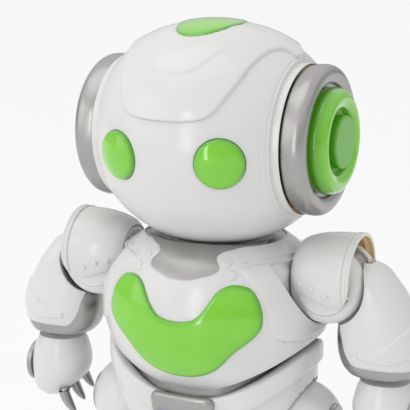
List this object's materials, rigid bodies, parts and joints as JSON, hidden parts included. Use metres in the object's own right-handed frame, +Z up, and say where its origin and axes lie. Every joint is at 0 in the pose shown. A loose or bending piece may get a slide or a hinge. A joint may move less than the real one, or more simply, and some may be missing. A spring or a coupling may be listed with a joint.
{
  "type": "toy robot",
  "caption": "Walking toy robot with a round lensed head, round ear units, a barrel torso, open shoulder pads, clawed hands and wheeled boots.",
  "frame": {"origin": "on the floor, under the middle of the robot", "axes": "+Z up, -Y is the way the robot faces, +X is its left side"},
  "size_m": [0.1836, 0.0956, 0.2623],
  "materials": {
    "white_shell": "white moulded plastic with a soft gloss",
    "green_lens": "clear green plastic with a high gloss",
    "silver_paint": "silver paint with fine metal flakes over plastic",
    "grey_plastic": "grey moulded plastic",
    "steel": "bright steel",
    "rubber": "matt black rubber",
    "circuit_board": "green circuit board",
    "black_plastic": "black plastic"
  },
  "bodies": {
    "pelvis": {"pelvis_shell": "white_shell", "waist_skirt": "white_shell", "belt_plate": "silver_paint", "waist_post": "grey_plastic", "hip_axle": "steel", "leg_gearbox": "grey_plastic"},
    "torso": {"chest_shell": "white_shell", "back_shell": "white_shell", "chest_lens": "green_lens", "neck_collar": "silver_paint", "neck_stem": "grey_plastic", "waist_band": "silver_paint", "battery_door": "white_shell", "battery_door_screw": "steel", "speaker": "black_plastic", "main_board": "circuit_board", "battery_pack": "black_plastic", "arm_gearbox": "grey_plastic"},
    "switch": {"power_switch": "grey_plastic"},
    "head": {"head_front_shell": "white_shell", "head_rear_shell": "white_shell", "crown_cap": "white_shell", "crown_lens": "green_lens", "eye_light_board": "circuit_board", "left_eye_lens": "green_lens", "right_eye_lens": "green_lens", "left_ear_ring": "silver_paint", "right_ear_ring": "silver_paint", "left_ear_disc": "green_lens", "right_ear_disc": "green_lens", "left_ear_knob": "green_lens", "right_ear_knob": "green_lens"},
    "left_arm": {"left_shoulder_pad": "white_shell", "left_upper_arm": "white_shell", "left_elbow_pin": "steel"},
    "left_forearm": {"left_forearm_shell": "white_shell", "left_forearm_core": "silver_paint"},
    "left_hand": {"left_hand_shell": "white_shell", "left_hand_disc": "silver_paint", "left_fingers": "silver_paint"},
    "left_leg": {"left_thigh": "white_shell", "left_hip_disc": "silver_paint", "left_knee_cap": "silver_paint", "left_boot_shell": "white_shell", "left_foot_sole": "grey_plastic"},
    "left_wheels": {"left_wheel_set": "rubber"},
    "right_arm": {"right_shoulder_pad": "white_shell", "right_upper_arm": "white_shell", "right_elbow_pin": "steel"},
    "right_forearm": {"right_forearm_shell": "white_shell", "right_forearm_core": "silver_paint"},
    "right_hand": {"right_hand_shell": "white_shell", "right_hand_disc": "silver_paint", "right_fingers": "silver_paint"},
    "right_leg": {"right_thigh": "white_shell", "right_hip_disc": "silver_paint", "right_knee_cap": "silver_paint", "right_boot_shell": "white_shell", "right_foot_sole": "grey_plastic"},
    "right_wheels": {"right_wheel_set": "rubber"}
  },
  "joints": [
    {"name": "waist_twist", "type": "hinge", "parent": "pelvis", "child": "torso", "pos_m": [0, 0, 0.105], "axis": [0, 0, 1], "range_deg": [-8, 8]},
    {"name": "neck_turn", "type": "hinge", "parent": "torso", "child": "head", "pos_m": [0, 0, 0.167], "axis": [0, 0, 1], "range_deg": [-60, 60]},
    {"name": "switch_slide", "type": "slide", "parent": "torso", "child": "switch", "axis": [1, 0, 0], "range_m": [0, 0.0036]},
    {"name": "left_shoulder_swing", "type": "hinge", "parent": "torso", "child": "left_arm", "pos_m": [0.045, 0, 0.158], "axis": [-1, 0, 0], "range_deg": [-40, 90]},
    {"name": "left_elbow_bend", "type": "hinge", "parent": "left_arm", "child": "left_forearm", "pos_m": [0.0525, 0, 0.155], "axis": [0, -1, 0], "range_deg": [-4, 35]},
    {"name": "left_wrist_turn", "type": "hinge", "parent": "left_forearm", "child": "left_hand", "pos_m": [0.0755, 0, 0.1165], "axis": [0, 0, 1], "range_deg": [-90, 90]},
    {"name": "left_hip_swing", "type": "hinge", "parent": "pelvis", "child": "left_leg", "pos_m": [0.039, 0, 0.0915], "axis": [-1, 0, 0], "range_deg": [-8, 8]},
    {"name": "left_wheel_spin", "type": "hinge", "parent": "left_leg", "child": "left_wheels", "pos_m": [0.034, 0.014, 0.008], "axis": [1, 0, 0], "continuous": true},
    {"name": "right_shoulder_swing", "type": "hinge", "parent": "torso", "child": "right_arm", "pos_m": [-0.045, 0, 0.158], "axis": [-1, 0, 0], "range_deg": [-40, 90]},
    {"name": "right_elbow_bend", "type": "hinge", "parent": "right_arm", "child": "right_forearm", "pos_m": [-0.0525, 0, 0.155], "axis": [0, 1, 0], "range_deg": [-4, 35]},
    {"name": "right_wrist_turn", "type": "hinge", "parent": "right_forearm", "child": "right_hand", "pos_m": [-0.0755, 0, 0.1165], "axis": [0, 0, -1], "range_deg": [-90, 90]},
    {"name": "right_hip_swing", "type": "hinge", "parent": "pelvis", "child": "right_leg", "pos_m": [-0.039, 0, 0.0915], "axis": [-1, 0, 0], "range_deg": [-8, 8]},
    {"name": "right_wheel_spin", "type": "hinge", "parent": "right_leg", "child": "right_wheels", "pos_m": [-0.034, 0.014, 0.008], "axis": [1, 0, 0], "continuous": true}
  ],
  "couplings": [
    {"joint": "right_hip_swing", "follows": "left_hip_swing", "ratio": -1}
  ]
}
